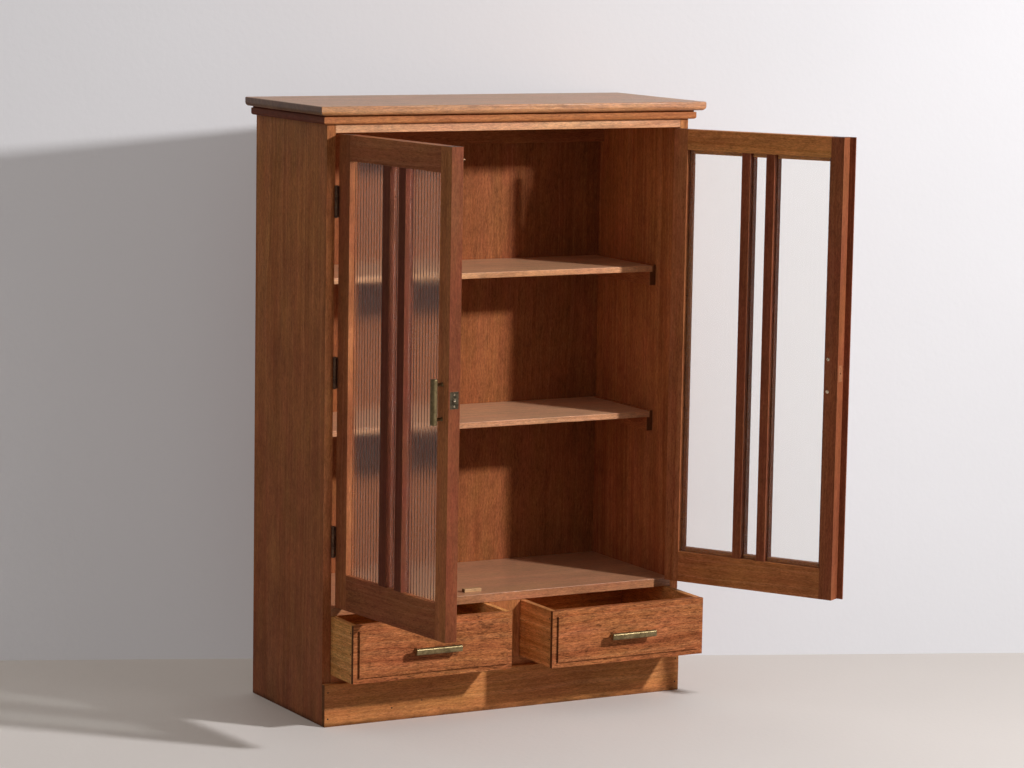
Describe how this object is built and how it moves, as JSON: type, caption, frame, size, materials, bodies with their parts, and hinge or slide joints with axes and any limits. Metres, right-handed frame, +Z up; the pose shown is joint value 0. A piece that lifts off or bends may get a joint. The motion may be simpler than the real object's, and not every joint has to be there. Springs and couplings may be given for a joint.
{
  "type": "display cabinet",
  "caption": "Wooden display cabinet with hinged fluted-glass doors, shelves on cleats, and pull-out drawers above a plinth.",
  "frame": {"origin": "on the floor, in the middle of the underside of the plinth board", "axes": "+X to the cabinet's right as seen from its front, +Y to its back, +Z up"},
  "size_m": [1.0033, 0.712, 1.2],
  "materials": {
    "cabinet_wood": "satin oiled hardwood, reddish brown",
    "drawer_box_wood": "plain lighter wood",
    "inner_wood": "unfinished wood",
    "fluted_glass": "clear fluted glass",
    "handle_metal": "aged satin",
    "hinge_metal": "aged",
    "brass_fittings": "polished, worn"
  },
  "bodies": {
    "root": {"back_panel": "cabinet_wood", "back_top_rail": "cabinet_wood", "bolt_keeper": "brass_fittings", "bottom_board": "cabinet_wood", "cleats_lower": "cabinet_wood", "cleats_upper": "cabinet_wood", "corner_blocks": "inner_wood", "cornice_front": "cabinet_wood", "cornice_left": "cabinet_wood", "cornice_right": "cabinet_wood", "display_floor": "cabinet_wood", "door_stop": "cabinet_wood", "drawer_divider": "cabinet_wood", "drawer_guides": "inner_wood", "hinge_leaves_fixed": "hinge_metal", "hinge_pins": "hinge_metal", "plinth_back_rail": "inner_wood", "plinth_board": "cabinet_wood", "shelf_lower": "cabinet_wood", "shelf_upper": "cabinet_wood", "side_panel_left": "cabinet_wood", "side_panel_right": "cabinet_wood", "top_board": "cabinet_wood", "top_rail": "cabinet_wood"},
    "door_left": {"bolt_guide": "brass_fittings", "catch_case": "brass_fittings", "door_left_bottom_rail": "cabinet_wood", "door_left_glazing_bars": "cabinet_wood", "door_left_handle": "handle_metal", "door_left_hinge_leaves": "hinge_metal", "door_left_hinge_stile": "cabinet_wood", "door_left_meeting_stile": "cabinet_wood", "door_left_pane_hinge_side": "fluted_glass", "door_left_pane_meeting_side": "fluted_glass", "door_left_pane_middle": "fluted_glass", "door_left_top_rail": "cabinet_wood"},
    "door_right": {"catch_strike": "brass_fittings", "door_right_bottom_rail": "cabinet_wood", "door_right_cover_strip": "cabinet_wood", "door_right_glazing_bars": "cabinet_wood", "door_right_handle": "handle_metal", "door_right_hinge_leaves": "hinge_metal", "door_right_hinge_stile": "cabinet_wood", "door_right_meeting_stile": "cabinet_wood", "door_right_pane_hinge_side": "fluted_glass", "door_right_pane_meeting_side": "fluted_glass", "door_right_pane_middle": "fluted_glass", "door_right_top_rail": "cabinet_wood"},
    "door_bolt": {"bolt": "brass_fittings"},
    "ball": {"catch_ball": "brass_fittings"},
    "drawer_left": {"drawer_left_back": "drawer_box_wood", "drawer_left_bottom": "drawer_box_wood", "drawer_left_front": "cabinet_wood", "drawer_left_handle": "handle_metal", "drawer_left_sides": "drawer_box_wood"},
    "drawer_right": {"drawer_right_back": "drawer_box_wood", "drawer_right_bottom": "drawer_box_wood", "drawer_right_front": "cabinet_wood", "drawer_right_handle": "handle_metal", "drawer_right_sides": "drawer_box_wood"}
  },
  "joints": [
    {"name": "door_left_hinge", "type": "hinge", "parent": "root", "child": "door_left", "pos_m": [-0.38125, 0.001, 0.69025], "axis": [0, 0, -1], "range_deg": [-84, 91]},
    {"name": "door_right_hinge", "type": "hinge", "parent": "root", "child": "door_right", "pos_m": [0.38125, 0.001, 0.69025], "axis": [0, 0, 1], "range_deg": [-120.4, 54.6]},
    {"name": "door_bolt_slide", "type": "slide", "parent": "door_left", "child": "door_bolt", "axis": [0, 0, 1], "range_m": [0, 0.011]},
    {"name": "catch_ball_press", "type": "slide", "parent": "door_left", "child": "ball", "axis": [-0.1045, 0.9945, 0], "range_m": [0, 0.002], "stiffness_N_per_m": 200},
    {"name": "drawer_left_slide", "type": "slide", "parent": "root", "child": "drawer_left", "axis": [0, -1, 0], "range_m": [-0.102, 0.118]},
    {"name": "drawer_right_slide", "type": "slide", "parent": "root", "child": "drawer_right", "axis": [0, -1, 0], "range_m": [-0.135, 0.085]}
  ]
}
